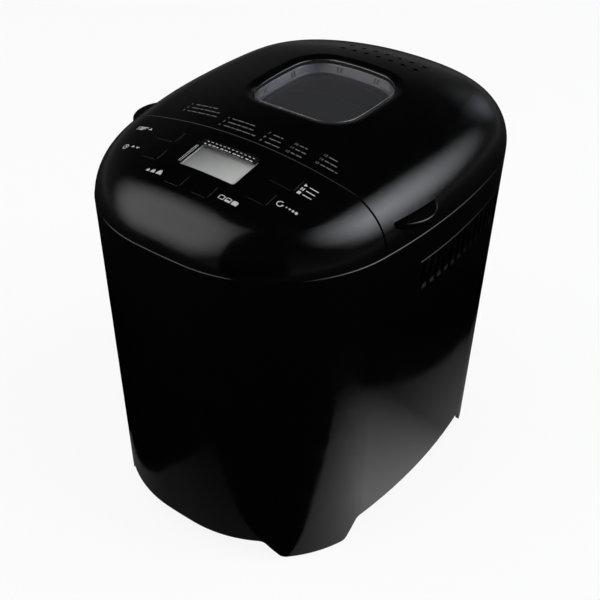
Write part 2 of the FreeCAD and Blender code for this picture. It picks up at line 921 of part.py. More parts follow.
def make_hinge_pins():
    pins = []
    for side in SIDES:
        x0, x1 = hinge_bracket_span(side)
        pins.append(rod(hinge_pin_radius, V(x0, hinge_y, hinge_z), ALONG_X, x1 - x0))
    return group(pins)


# Oven chamber and what is fixed to it
heater_z = oven_floor + heater_above_floor
oven_front = oven_y - oven_half_y
oven_back = oven_y + oven_half_y
housing_radius = shaft_radius + running_gap + bush_wall + housing_wall


def make_oven_chamber():
    low = oven_floor - oven_sheet
    chamber = rounded_block(oven_outer_x, oven_outer_y, oven_corner, 0, oven_y, low, oven_flange_top)
    flange = rounded_block(oven_outer_x + oven_flange, oven_outer_y + oven_flange, oven_corner + oven_flange,
                           0, oven_y, deck_top, oven_flange_top)
    flange = flange.common(body_solid(shell_wall + fit_gap, deck_top, lid_bottom))
    hollow = rounded_block(oven_half_x, oven_half_y, oven_corner - oven_sheet, 0, oven_y, oven_floor, tall)
    chamber = fuse([chamber, flange]).cut(hollow)
    chamber = chamber.cut(rod(housing_radius + fit_gap, V(0, oven_y, 0), UP, oven_floor + past))
    for side in SIDES:
        start = V(side * heater_terminal_x, oven_y, heater_z)
        chamber = chamber.cut(rod(heater_bush_radius + press_gap, start, -ALONG_Y, tall))
    start = V(probe_x, oven_y, oven_floor + probe_above_floor)
    return chamber.cut(rod(probe_radius + press_gap, start, ALONG_Y, tall))


def make_pan_seat():
    inner = pan_ring_radius + fit_gap * 2
    ledge_top = pan_floor - pan_ring_height - fit_gap
    seat = ring(inner + seat_wall, inner, 0, oven_y, oven_floor, oven_floor + seat_height)
    ledge = ring(inner, inner - seat_wall, 0, oven_y, oven_floor, ledge_top)
    return fuse([seat, ledge])


def make_seat_clips():
    x = pan_ring_radius + fit_gap * 2 + seat_wall
    clips = []
    for side in SIDES:
        leaf = box(x, x + clip_sheet, oven_y - clip_width / 2, oven_y + clip_width / 2, oven_floor,
                   oven_floor + clip_height)
        foot = box(x, x + clip_width, oven_y - clip_width / 2, oven_y + clip_width / 2, oven_floor,
                   oven_floor + clip_sheet)
        clip = fuse([leaf, foot])
        clips.append(clip if side > 0 else clip.mirror(V(0, 0, 0), ALONG_X))
    return group(clips)


# Heating element: one tube round the chamber floor, its ends leaving through the front wall
def make_heating_element():
    front = oven_y - heater_half_y
    back = oven_y + heater_half_y
    outside = oven_front - oven_sheet - heater_terminal_length
    corners = [(-heater_terminal_x, outside, 0), (-heater_terminal_x, front, heater_bend),
               (-heater_half_x, front, heater_corner), (-heater_half_x, back, heater_corner),
               (heater_half_x, back, heater_corner), (heater_half_x, front, heater_corner),
               (heater_terminal_x, front, heater_bend), (heater_terminal_x, outside, 0)]
    loop = rounded_wire(corners, lambda u, v: V(u, v, heater_z))
    tube = [edge for edge in loop.Edges if edge.CenterOfMass.y > outside + tiny]
    path = Part.Wire(Part.__sortEdges__(tube))
    profile = Part.Wire([Part.makeCircle(heater_radius, V(-heater_terminal_x, outside, heater_z), ALONG_Y)])
    return path.makePipeShell([profile], True, False)


def make_heater_bushes():
    middle = oven_front - oven_sheet / 2
    bushes = []
    for side in SIDES:
        start = V(side * heater_terminal_x, middle - heater_bush_length / 2, heater_z)
        bush = rod(heater_bush_radius, start, ALONG_Y, heater_bush_length)
        bushes.append(bush.cut(rod(heater_radius + running_gap, start, ALONG_Y, heater_bush_length)))
    return group(bushes)


def make_probe():
    z = oven_floor + probe_above_floor
    outside = oven_back + oven_sheet
    stem = rod(probe_radius, V(probe_x, outside + probe_flange, z), -ALONG_Y, probe_length)
    return fuse([stem, rod(probe_flange_radius, V(probe_x, outside, z), ALONG_Y, probe_flange)])


def make_thermal_fuse():
    z = oven_floor + fuse_above_floor
    outside = oven_back + oven_sheet
    plate = box(-fuse_half_x, fuse_half_x, outside, outside + oven_sheet, z - fuse_half_z, z + fuse_half_z)
    return fuse([plate, rod(fuse_half_z, V(0, outside, z), ALONG_Y, fuse_depth)])


# Bread pan, its ring, bush, shaft, coupling, handle and paddle
rim_half_x = pan_half_x + pan_rim
ear_outside = rim_half_x + ear_sheet
bail_half_x = ear_outside + bail_side_gap + bail_bend


def pan_body(inset, low, high):
    foot = rounded_rectangle(pan_half_x - pan_taper - inset, pan_half_y - pan_taper - inset,
                             pan_corner - inset, 0, oven_y, low)
    mouth = rounded_rectangle(pan_half_x - inset, pan_half_y - inset, pan_corner - inset, 0, oven_y, high)
    return Part.makeLoft([foot, mouth], True, True)


def make_bread_pan():
    pan = pan_body(0, pan_floor, pan_rim_top)
    rim = rounded_block(rim_half_x, pan_half_y + pan_rim, pan_corner + pan_rim, 0, oven_y,
                        pan_rim_top - pan_rim_height, pan_rim_top)
    pan = fuse([pan, rim])
    pan = pan.cut(pan_body(pan_sheet, pan_floor + pan_sheet, pan_rim_top + pan_sheet))
    ears = []
    front, back = oven_y - ear_width / 2, oven_y + ear_width / 2
    for side in SIDES:
        left, right = sorted((side * (rim_half_x - pan_sheet), side * ear_outside))
        ears.append(box(left, right, front, back, pan_rim_top - pan_rim_height, pan_rim_top + ear_above))
        left, right = sorted((side * rim_half_x, side * ear_outside))
        ears.append(box(left, right, front, back, pan_rim_top - ear_below, pan_rim_top))
    pan = fuse([pan] + ears)
    pan = pan.cut(rod(bail_wire_radius + running_gap * 2, V(-tall, oven_y, pivot_height), ALONG_X, 2 * tall))
    return pan.cut(rod(pan_bush_radius - pan_bush_flange, V(0, oven_y, 0), UP, pan_floor + pan_sheet + past))


def make_pan_ring():
    return ring(pan_ring_radius, pan_ring_radius - pan_ring_wall, 0, oven_y,
                pan_floor - pan_ring_height, pan_floor)


def make_pan_bush():
    neck = pan_bush_radius - pan_bush_flange - press_gap
    start = V(0, oven_y, pan_floor - pan_bush_flange)
    low = rod(pan_bush_radius, start, UP, pan_bush_flange)
    middle = rod(neck, start, UP, pan_bush_flange + pan_sheet + pan_bush_boss)
    boss = Part.makeCone(pan_bush_radius, neck, pan_bush_boss, V(0, oven_y, pan_floor + pan_sheet), UP)
    return fuse([low, middle, boss]).cut(rod(shaft_radius + running_gap, V(0, oven_y, 0), UP, tall))


wing_low = oven_floor + coupling_hub_high + dog_gap
wing_high = wing_low + dog_height


def make_pan_shaft():
    return rod(shaft_radius, V(0, oven_y, wing_high), UP, oven_floor + pan_shaft_above_floor - wing_high)


def make_pan_coupling():
    hub = ring(coupling_radius, shaft_radius + press_gap, 0, oven_y, wing_high, wing_high + wing_hub)
    keep = ring(coupling_radius, dog_inner, 0, oven_y, wing_low, wing_high)
    slab = box(-dog_half_width, dog_half_width, oven_y - tall, oven_y + tall, wing_low, wing_high)
    return fuse([hub, keep.common(slab)])


def make_bail():
    front = -bail_length
    tip = rim_half_x - pan_sheet
    corners = [(-tip, 0, 0), (-bail_half_x, 0, bail_bend), (-bail_half_x, front, bail_corner),
               (bail_half_x, front, bail_corner), (bail_half_x, 0, bail_bend), (tip, 0, 0)]
    loop = rounded_wire(corners, lambda u, v: V(u, oven_y + v, pivot_height))
    closing = [edge for edge in loop.Edges
               if abs(edge.CenterOfMass.x) < tiny and edge.CenterOfMass.y > oven_y - tiny]
    path = Part.Wire(Part.__sortEdges__([edge for edge in loop.Edges if not edge.isSame(closing[0])]))
    profile = Part.Wire([Part.makeCircle(bail_wire_radius, V(-tip, oven_y, pivot_height), ALONG_X)])
    return path.makePipeShell([profile], True, False)


def make_paddle():
    low = pan_floor + pan_sheet + pan_bush_boss + paddle_floor_gap
    hub = Part.makeCone(paddle_hub_radius, paddle_hub_top_radius, paddle_hub_height, V(0, oven_y, low), UP)
    foot = paddle_blade_foot / 2
    top = paddle_blade_top / 2
    high = low + paddle_blade_height
    corners = [(-foot, low, 0), (foot, low, 0),
               (top, high, paddle_blade_round), (-top, high, paddle_blade_round)]
    wire = rounded_wire(corners, lambda u, v: V(0, oven_y + u, v))
    blade = Part.Face(wire).extrude(V(paddle_reach, 0, 0))
    nose = rod(paddle_reach, V(0, oven_y, low), UP, paddle_blade_height)
    paddle = fuse([hub, blade.common(nose)])
    bore_top = low + paddle_hub_height - paddle_cap
    return paddle.cut(rod(shaft_radius + running_gap * 2, V(0, oven_y, 0), UP, bore_top))


# Drive line under the chamber
def make_bearing_housing():
    bore = shaft_radius + running_gap + bush_wall + press_gap
    start = V(0, oven_y, chassis_top)
    barrel = rod(housing_radius, start, UP, oven_floor + housing_above_floor - chassis_top)
    flange = rod(housing_flange_radius, start, UP, housing_flange)
    return fuse([barrel, flange]).cut(rod(bore, V(0, oven_y, 0), UP, tall))


def make_shaft_bushes():
    high = oven_floor + housing_above_floor
    inner = shaft_radius + running_gap
    return group([ring(inner + bush_wall, inner, 0, oven_y, chassis_top, chassis_top + bush_length),
                  ring(inner + bush_wall, inner, 0, oven_y, high - bush_length, high)])


def make_drive_shaft():
    return rod(shaft_radius, V(0, oven_y, shaft_bottom), UP, oven_floor + shaft_into_coupling - shaft_bottom)


def make_drive_coupling():
    low = oven_floor + coupling_hub_low
    high = oven_floor + coupling_hub_high
    hub = rod(coupling_radius, V(0, oven_y, low), UP, high - low)
    keep = ring(coupling_radius, dog_inner, 0, oven_y, high, high + dog_height)
    slab = box(-tall, tall, oven_y - dog_half_width, oven_y + dog_half_width, high, high + dog_height)
    coupling = fuse([hub, keep.common(slab)])
    return coupling.cut(rod(shaft_radius + press_gap, V(0, oven_y, 0), UP, oven_floor + shaft_into_coupling))


def flanged_rim(radius, flange, x, y, inner):
    high = pulley_low + pulley_width
    side = (pulley_width - belt_width) / 2 - belt_gap
    return fuse([ring(radius, inner, x, y, pulley_low, high),
                 ring(radius + flange, inner, x, y, pulley_low, pulley_low + side),
                 ring(radius + flange, inner, x, y, high - side, high)])


def make_drive_pulley():
    inner = pulley_radius - pulley_rim
    rim = flanged_rim(pulley_radius, pulley_flange, 0, oven_y, inner)
    middle = pulley_low + pulley_width / 2
    web = ring(inner, pulley_hub_radius, 0, oven_y, middle - pulley_web / 2, middle + pulley_web / 2)
    hub = ring(pulley_hub_radius, shaft_radius + press_gap, 0, oven_y, pulley_low, pulley_hub_top)
    return fuse([rim, web, hub])


def make_shaft_clip():
    high = pulley_low - press_gap
    return ring(clip_ring_radius, shaft_radius + press_gap, 0, oven_y, high - clip_ring_height, high)


def belt_loop(grow, low, high):
    large = pulley_radius + grow
    small = motor_pulley_radius + grow
    lean = (large - small) / (oven_y - motor_y)
    across = math.sqrt(1 - lean ** 2)

    def touch(y, radius, side):
        return V(side * radius * across, y - radius * lean, low)

    large_right, large_left = touch(oven_y, large, 1), touch(oven_y, large, -1)
    small_right, small_left = touch(motor_y, small, 1), touch(motor_y, small, -1)
    edges = [Part.Arc(large_right, V(0, oven_y + large, low), large_left).toShape(),
             Part.makeLine(large_left, small_left),
             Part.Arc(small_left, V(0, motor_y - small, low), small_right).toShape(),
             Part.makeLine(small_right, large_right)]
    return prism(Part.Wire(edges), high - low)


def make_drive_belt():
    low = pulley_low + (pulley_width - belt_width) / 2
    high = low + belt_width
    return belt_loop(belt_gap + belt_thickness, low, high).cut(belt_loop(belt_gap, low, high))


# Motor
cap_low = motor_core_low - motor_cap_height
cap_high = motor_core_high + motor_cap_height
motor_shaft_top = cap_high + motor_shaft_above_cap


def make_motor_stator():
    core = rounded_block(motor_half, motor_half, motor_mount_radius, 0, motor_y,
                         motor_core_low, motor_core_high)
    return core.cut(rod(motor_bore_radius, V(0, motor_y, 0), UP, tall))


def make_motor_caps():
    caps = []
    inner = motor_cap_radius - motor_cap_wall
    for low, hollow in ((cap_low, cap_low + motor_cap_wall), (motor_core_high, motor_core_high)):
        cap = rod(motor_cap_radius, V(0, motor_y, low), UP, motor_cap_height)
        cap = cap.cut(rod(inner, V(0, motor_y, hollow), UP, motor_cap_height - motor_cap_wall))
        caps.append(cap.cut(rod(motor_shaft_radius + running_gap, V(0, motor_y, 0), UP, tall)))
    return group(caps)


def make_motor_rotor():
    shaft_length = motor_shaft_top - motor_shaft_bottom
    core_length = motor_core_high - motor_core_low
    shaft = rod(motor_shaft_radius, V(0, motor_y, motor_shaft_bottom), UP, shaft_length)
    core = rod(motor_bore_radius - motor_air_gap, V(0, motor_y, motor_core_low), UP, core_length)
    return fuse([shaft, core])


def make_motor_pulley():
    return flanged_rim(motor_pulley_radius, motor_pulley_flange, 0, motor_y, motor_shaft_radius + press_gap)


def make_motor_fan():
    low = cap_high + fan_lift
    hub = rod(fan_hub_radius, V(0, motor_y, low), UP, fan_height)
    blade = box(0, fan_radius, motor_y - fan_blade_thickness / 2, motor_y + fan_blade_thickness / 2,
                low, low + fan_height)
    blades = []
    for index in range(fan_blades):
        turned = blade.copy()
        turned.rotate(V(0, motor_y, low), UP, 360.0 * index / fan_blades)
        blades.append(turned)
    return fuse([hub] + blades).cut(rod(motor_shaft_radius + press_gap, V(0, motor_y, 0), UP, tall))


def make_motor_mounts():
    spots = [V(sx * motor_mount_spread, motor_y + sy * motor_mount_spread, chassis_top)
             for sx in SIDES for sy in SIDES]
    return group(rod(motor_mount_radius, spot, UP, motor_core_low - chassis_top) for spot in spots)


# Chassis
def post_points():
    return [(side * post_x, y) for side in SIDES for y in (post_front_y, post_back_y)]


def make_chassis():
    plate = body_solid(shell_wall + chassis_wall_gap, chassis_low, chassis_top)
    plate = plate.common(box(-chassis_half_x, chassis_half_x, chassis_front, chassis_back, 0, tall))
    plate = plate.cut(rod(pulley_hub_radius + fit_gap, V(0, oven_y, 0), UP, tall))
    plate = plate.cut(gland_column(gland_half + fit_gap, gland_front_y - fit_gap, half_depth))
    return plate.cut(rod(motor_pulley_radius, V(0, motor_y, 0), UP, tall))


def make_chassis_posts():
    posts = []
    for x, y in post_points():
        post = rod(post_radius, V(x, y, base_plate_top), UP, chassis_low - base_plate_top)
        posts.append(post.cut(rod(screw_radius + press_gap, V(x, y, 0), UP, base_plate_low + screw_length)))
    return group(posts)


# One kind of screw, its seat under the head at start and its shank along axis
def screw(start, axis):
    head = rod(screw_head_radius, start, -axis, screw_head_height)
    return fuse([head, rod(screw_radius, start, axis, screw_length)])


def make_case_screws():
    base = [screw(V(x, y, base_plate_low), UP) for x, y in post_points()]
    return group(base + [screw(start, -ALONG_Y) for start in hinge_screw_points()])


def make_standoffs():
    height = oven_floor - oven_sheet - chassis_top
    spots = [V(sx * standoff_x, oven_y + sy * standoff_y, chassis_top) for sx in SIDES for sy in SIDES]
    return group(rod(standoff_radius, spot, UP, height) for spot in spots)


# Power electronics and cord entry
def make_power_board():
    return box(board_x, board_x + board_thickness, power_board_front, power_board_back, chassis_top,
               chassis_top + power_board_height)


def make_board_parts():
    y = power_board_front + part_margin
    middle = (power_board_front + power_board_back) / 2
    low = chassis_top + part_margin
    terminal = box(board_x - terminal_depth, board_x, middle - terminal_half_y, middle + terminal_half_y, low,
                   low + terminal_height)
    high = low + terminal_height + part_margin
    relay = box(board_x - relay_depth, board_x, y, y + 2 * relay_half_y, high, high + relay_height)
    coil_y = power_board_back - part_margin
    coil = box(board_x - coil_depth, board_x, coil_y - 2 * coil_half_y, coil_y, high, high + coil_height)
    return group([terminal, relay, coil])


def make_capacitor():
    return rod(capacitor_radius, V(capacitor_x, capacitor_y, chassis_top), UP, capacitor_height)


def make_capacitor_strap():
    inner = capacitor_radius + press_gap
    outer = inner + strap_wall
    band = ring(outer, inner, capacitor_x, capacitor_y, chassis_top, chassis_top + strap_height)
    foot = box(capacitor_x - capacitor_radius / 2, capacitor_x + capacitor_radius / 2, capacitor_y + inner,
               capacitor_y + outer + strap_foot, chassis_top, chassis_top + strap_wall)
    return fuse([band, foot.cut(rod(inner, V(capacitor_x, capacitor_y, 0), UP, tall))])


# The gland has a square barrel in a square hole, so that it can't turn
def gland_column(half, front, back):
    corners = [(-half, -half, gland_corner), (half, -half, gland_corner),
               (half, half, gland_corner), (-half, half, gland_corner)]
    wire = rounded_wire(corners, lambda u, v: V(gland_x + u, front, gland_z + v))
    return Part.Face(wire).extrude(V(0, back - front, 0))


def make_cord_gland():
    outside = half_depth - shell_wall + gland_flange
    flange = rod(gland_flange_radius, V(gland_x, 0, gland_z), ALONG_Y, outside).cut(body_outer)
    barrel = gland_column(gland_half, gland_front_y, outside)
    return fuse([flange, barrel]).cut(rod(gland_bore_radius, V(gland_x, 0, gland_z), ALONG_Y, tall))


PIECES = {
    "body_shell": make_body_shell,
    "base_plate": make_base_plate,
    "foot_pads": make_foot_pads,
    "top_deck": make_deck,
    "control_panel": make_control_panel,
    "display_lens": make_display_lens,
    "lcd_module": make_lcd,
    "control_board": make_control_board,
    "key_switches": make_switches,
    "lid_cover": make_lid_cover,
    "lid_liner": make_lid_liner,
    "window_glass": make_window_glass,
    "window_frame": make_window_frame,
    "inner_glass": make_inner_glass,
    "lid_seal": make_lid_seal,
    "hinge_arms": make_hinge_arms,
    "hinge_brackets": make_hinge_brackets,
    "hinge_pins": make_hinge_pins,
    "oven_chamber": make_oven_chamber,
    "pan_seat": make_pan_seat,
    "seat_clips": make_seat_clips,
    "heating_element": make_heating_element,
    "heater_bushes": make_heater_bushes,
    "temperature_probe": make_probe,
    "thermal_fuse": make_thermal_fuse,
    "bread_pan": make_bread_pan,
    "pan_ring": make_pan_ring,
    "pan_bush": make_pan_bush,
    "pan_shaft": make_pan_shaft,
    "pan_coupling": make_pan_coupling,
    "pan_handle": make_bail,
    "kneading_paddle": make_paddle,
    "bearing_housing": make_bearing_housing,
    "shaft_bushes": make_shaft_bushes,
    "drive_shaft": make_drive_shaft,
    "drive_coupling": make_drive_coupling,
    "drive_pulley": make_drive_pulley,
    "shaft_clip": make_shaft_clip,
    "drive_belt": make_drive_belt,
    "motor_stator": make_motor_stator,
    "motor_caps": make_motor_caps,
    "motor_rotor": make_motor_rotor,
    "motor_pulley": make_motor_pulley,
    "motor_fan": make_motor_fan,
    "motor_mounts": make_motor_mounts,
    "chassis_plate": make_chassis,
    "chassis_posts": make_chassis_posts,
    "case_screws": make_case_screws,
    "chamber_standoffs": make_standoffs,
    "power_board": make_power_board,
    "board_parts": make_board_parts,
    "run_capacitor": make_capacitor,
    "capacitor_strap": make_capacitor_strap,
    "cord_gland": make_cord_gland,
}

os.makedirs("parts", exist_ok=True)
for piece_name, make_piece in PIECES.items():
    save(piece_name, make_piece())
for key_name, key_place in KEYS.items():
    save(key_name, make_key(key_place))
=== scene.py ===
import json
import math

import bmesh
import bpy
from mathutils import Matrix, Quaternion, Vector
from mathutils.bvhtree import BVHTree


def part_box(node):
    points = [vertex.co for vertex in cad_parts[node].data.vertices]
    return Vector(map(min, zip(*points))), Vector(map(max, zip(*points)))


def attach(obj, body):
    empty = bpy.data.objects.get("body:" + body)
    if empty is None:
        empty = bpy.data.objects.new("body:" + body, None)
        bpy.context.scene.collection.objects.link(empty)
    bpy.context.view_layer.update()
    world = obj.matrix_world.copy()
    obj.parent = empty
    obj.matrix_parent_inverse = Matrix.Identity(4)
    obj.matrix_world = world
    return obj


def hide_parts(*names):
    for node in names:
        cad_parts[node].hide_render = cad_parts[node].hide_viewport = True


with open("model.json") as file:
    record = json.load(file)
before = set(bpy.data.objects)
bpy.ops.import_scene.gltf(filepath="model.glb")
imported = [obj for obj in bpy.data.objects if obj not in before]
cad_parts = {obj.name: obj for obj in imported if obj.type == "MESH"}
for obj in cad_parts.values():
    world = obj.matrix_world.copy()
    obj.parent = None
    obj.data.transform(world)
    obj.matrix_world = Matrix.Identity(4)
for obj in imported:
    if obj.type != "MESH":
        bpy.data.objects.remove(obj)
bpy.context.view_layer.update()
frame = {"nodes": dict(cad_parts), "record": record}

MM = 0.001
nodes = frame["nodes"]
scene = bpy.context.scene
scene.view_settings.view_transform = "Standard"

# The body's middle line, in millimetres of the frame
shell_low, shell_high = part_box("body_shell")
axis_y = (shell_low.y + shell_high.y) / 2 / MM


# Camera of the photograph
IMAGE_SIZE = 600
FOCAL_PIXELS = 1058.9
CENTRE_RIGHT = -10.15
CENTRE_UP = 1.23
CAMERA_AZIMUTH = 37.368
CAMERA_ELEVATION = 36.152
CAMERA_ROLL = 0.399
CAMERA_PLACE = Vector((0.37026, -0.50813, 0.57741))


def make_camera():
    turn = math.radians(CAMERA_AZIMUTH)
    lift = math.radians(CAMERA_ELEVATION)
    roll = math.radians(CAMERA_ROLL)
    level = Vector((math.cos(turn), math.sin(turn), 0))
    upright = Vector((-math.sin(turn) * math.sin(lift), math.cos(turn) * math.sin(lift), math.cos(lift)))
    right = level * math.cos(roll) + upright * math.sin(roll)
    up = upright * math.cos(roll) - level * math.sin(roll)
    data = bpy.data.cameras.new("camera")
    data.sensor_width = 36
    data.lens = FOCAL_PIXELS / IMAGE_SIZE * data.sensor_width
    data.shift_x = -CENTRE_RIGHT / IMAGE_SIZE
    data.shift_y = CENTRE_UP / IMAGE_SIZE
    data.clip_start = 0.01
    data.clip_end = 100
    camera = bpy.data.objects.new("camera", data)
    rotation = Matrix((right, up, right.cross(up))).transposed().to_4x4()
    camera.matrix_world = Matrix.Translation(CAMERA_PLACE) @ rotation
    scene.collection.objects.link(camera)
    scene.camera = camera


make_camera()


# Shader helpers
def new_material(name, **values):
    material = bpy.data.materials.new(name)
    material.use_nodes = True
    shader = material.node_tree.nodes["Principled BSDF"]
    for key, value in values.items():
        shader.inputs[key.replace("_", " ")].default_value = value
    return material, material.node_tree, shader


def add(tree, kind, inputs=None, **settings):
    node = tree.nodes.new(kind)
    for key, value in settings.items():
        setattr(node, key, value)
    for key, value in (inputs or {}).items():
        if isinstance(value, bpy.types.NodeSocket):
            tree.links.new(value, node.inputs[key])
        else:
            node.inputs[key].default_value = value
    return node


def grey(level):
    return (level, level, level, 1.0)


def place(tree, stretch=(1, 1, 1)):
    source = add(tree, "ShaderNodeTexCoord").outputs["Object"]
    return add(tree, "ShaderNodeMapping", {"Vector": source, "Scale": stretch}).outputs["Vector"]


def noise(tree, where, scale, detail=3.0):
    inputs = {"Vector": where, "Scale": scale, "Detail": detail, "Roughness": 0.55}
    return add(tree, "ShaderNodeTexNoise", inputs).outputs["Fac"]


def spread(tree, value, low, high, start=0.3, end=0.7):
    inputs = {"Value": value, "From Min": start, "From Max": end, "To Min": low, "To Max": high}
    return add(tree, "ShaderNodeMapRange", inputs).outputs["Result"]


def blend_colours(tree, factor, first, second):
    node = add(tree, "ShaderNodeMix", data_type="RGBA")
    tree.links.new(factor, node.inputs["Factor"])
    node.inputs["A"].default_value = first
    node.inputs["B"].default_value = second
    return node.outputs["Result"]


EDGE_SAMPLES = 6
RELIEF_DEPTH = 0.0002


def soft_edges(tree, radius):
    return add(tree, "ShaderNodeBevel", {"Radius": radius}, samples=EDGE_SAMPLES).outputs["Normal"]


def bump(tree, height, strength, normal=None):
    inputs = {"Height": height, "Strength": strength, "Distance": RELIEF_DEPTH}
    if normal is not None:
        inputs["Normal"] = normal
    return add(tree, "ShaderNodeBump", inputs).outputs["Normal"]


# A moulded or cast surface: mottled colour, uneven gloss, fine relief and softened edges
def surface(name, first, second, rough, relief, grain, edge=0.0, stretch=(1, 1, 1), mottle=60.0, **values):
    material, tree, shader = new_material(name, **values)
    where = place(tree, stretch)
    mottled = noise(tree, where, mottle)
    fine = noise(tree, where, grain)
    tree.links.new(blend_colours(tree, mottled, first, second), shader.inputs["Base Color"])
    tree.links.new(spread(tree, mottled, *rough), shader.inputs["Roughness"])
    normal = soft_edges(tree, edge) if edge else None
    tree.links.new(bump(tree, fine, relief, normal), shader.inputs["Normal"])
    return material


materials = {
    "black_gloss": surface("black_gloss", grey(0.0008), grey(0.0016), (0.10, 0.17), 0.02, 700),
    "key_gloss": surface("key_gloss", grey(0.0008), grey(0.0016), (0.10, 0.17), 0.02, 700, edge=0.0003),
    "black_satin": surface("black_satin", grey(0.010), grey(0.016), (0.38, 0.5), 0.12, 1800, edge=0.0005),
    "dark_part": surface("dark_part", grey(0.02), grey(0.035), (0.35, 0.5), 0.1, 1500, edge=0.0004),
    "grey_plastic": surface("grey_plastic", grey(0.16), grey(0.2), (0.4, 0.5), 0.1, 1500, edge=0.0004),
    "rubber": surface("rubber", grey(0.012), grey(0.022), (0.65, 0.85), 0.25, 1400, edge=0.0006),
    "silicone": surface("silicone", grey(0.3), grey(0.36), (0.5, 0.65), 0.15, 900, edge=0.0006),
    "ceramic": surface("ceramic", (0.62, 0.59, 0.53, 1), (0.72, 0.69, 0.63, 1), (0.45, 0.6), 0.15, 900),
    "board_green": surface("board_green", (0.008, 0.06, 0.025, 1), (0.02, 0.11, 0.05, 1), (0.3, 0.45),
                           0.1, 700),
    "steel": surface("steel", grey(0.5), grey(0.58), (0.25, 0.4), 0.1, 900, edge=0.0004, Metallic=1.0),
    "oven_steel": surface("oven_steel", grey(0.42), grey(0.55), (0.28, 0.42), 0.15, 500, edge=0.0005,
                          stretch=(1, 1, 12), Metallic=1.0),
    "aluminium": surface("aluminium", grey(0.62), grey(0.7), (0.3, 0.42), 0.12, 800, edge=0.0004,
                         Metallic=1.0),
    "bronze": surface("bronze", (0.42, 0.25, 0.11, 1), (0.5, 0.31, 0.15, 1), (0.3, 0.45), 0.15, 900,
                      Metallic=1.0),
    "iron": surface("iron", grey(0.11), grey(0.17), (0.4, 0.6), 0.2, 800, stretch=(1, 1, 20), Metallic=1.0),
    "pan_coat": surface("pan_coat", grey(0.022), grey(0.04), (0.4, 0.55), 0.3, 1100, edge=0.0006,
                        mottle=900.0),
    "lcd": surface("lcd", (0.52, 0.54, 0.53, 1), (0.58, 0.6, 0.59, 1), (0.4, 0.5), 0.02, 900),
    "window_glass": surface("window_glass", grey(0.02), grey(0.03), (0.05, 0.1), 0.01, 500, Alpha=0.35),
    "inner_glass": surface("inner_glass", (0.13, 0.133, 0.15, 1), (0.15, 0.153, 0.17, 1), (0.12, 0.2),
                           0.01, 500, Alpha=0.6),
    "display_glass": surface("display_glass", grey(0.015), grey(0.02), (0.04, 0.08), 0.01, 500, Alpha=0.08),
}


# Every frame node takes the material of its slot
def dress_nodes():
    slots = {part["node"]: part["material_slot"] for part in frame["record"]["subparts"]}
    for name, node in nodes.items():
        finish = materials.get(name, materials[slots[name]])
        if name.startswith("key_") and slots[name] == "black_gloss":
            finish = materials["key_gloss"]
        node.data.materials.clear()
        node.data.materials.append(finish)


dress_nodes()


# A node's surface, to find points on
def solid_tree(name):
    mesh = nodes[name].data
    points = [vertex.co.copy() for vertex in mesh.vertices]
    faces = [list(polygon.vertices) for polygon in mesh.polygons]
    return BVHTree.FromPolygons(points, faces)


# The point of a surface under a place, which is given in millimetres from the body's middle
def drop(tree, x, y, lift):
    start = Vector((x * MM, (y + axis_y) * MM, 1))
    point = tree.ray_cast(start, Vector((0, 0, -1)))[0]
    return Vector((start.x, start.y, point.z + lift * MM))


def new_piece(name, body, material, points, faces, smooth=True):
    mesh = bpy.data.meshes.new(name)
    mesh.from_pydata(points, [], faces)
    mesh.validate()
    builder = bmesh.new()
    builder.from_mesh(mesh)
    bmesh.ops.recalc_face_normals(builder, faces=builder.faces)
    builder.to_mesh(mesh)
    builder.free()
    for polygon in mesh.polygons:
        polygon.use_smooth = smooth
    mesh.materials.append(material)
    piece = bpy.data.objects.new(name, mesh)
    scene.collection.objects.link(piece)
    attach(piece, body)
    return piece


# Printed marks: flat outlines laid on a surface, with a thin coat of ink
INK_LIFT = 0.06
INK_DEPTH = 0.1


def print_marks(name, outlines, tree, body, material, lift=INK_LIFT):
    points = []
    faces = []
    for outline in outlines:
        start = len(points)
        count = len(outline)
        top = [drop(tree, x, y, lift) for x, y in outline]
        points += top + [point - Vector((0, 0, INK_DEPTH * MM)) for point in top]
        faces.append([start + index for index in range(count)])
        faces.append([start + count + index for index in reversed(range(count))])
        for index in range(count):
            after = (index + 1) % count
            faces.append([start + index, start + count + index, start + count + after, start + after])
    return new_piece(name, body, material, points, faces, smooth=False)


def bar(x, y, width, height):
    low = y - height / 2
    high = y + height / 2
    return [(x, low), (x + width, low), (x + width, high), (x, high)]


def disc(x, y, radius, steps=20):
    turns = [2 * math.pi * step / steps for step in range(steps)]
    return [(x + radius * math.cos(turn), y + radius * math.sin(turn)) for turn in turns]


# Part of a ring as a row of four-sided outlines
def band(x, y, outer, inner, start=0.0, end=360.0, steps=24):
    outlines = []
    for step in range(steps):
        first = math.radians(start + (end - start) * step / steps)
        last = math.radians(start + (end - start) * (step + 1) / steps)
        outlines.append([(x + outer * math.cos(first), y + outer * math.sin(first)),
                         (x + outer * math.cos(last), y + outer * math.sin(last)),
                         (x + inner * math.cos(last), y + inner * math.sin(last)),
                         (x + inner * math.cos(first), y + inner * math.sin(first))])
    return outlines


# A closed line of even width through corners
def frame_line(corners, width):
    middle_x = sum(corner[0] for corner in corners) / len(corners)
    middle_y = sum(corner[1] for corner in corners) / len(corners)
    inner = []
    for x, y in corners:
        away = math.hypot(x - middle_x, y - middle_y)
        share = (away - width * 1.3) / away
        inner.append((middle_x + (x - middle_x) * share, middle_y + (y - middle_y) * share))
    count = len(corners)
    return [[corners[index], corners[(index + 1) % count], inner[(index + 1) % count], inner[index]]
            for index in range(count)]


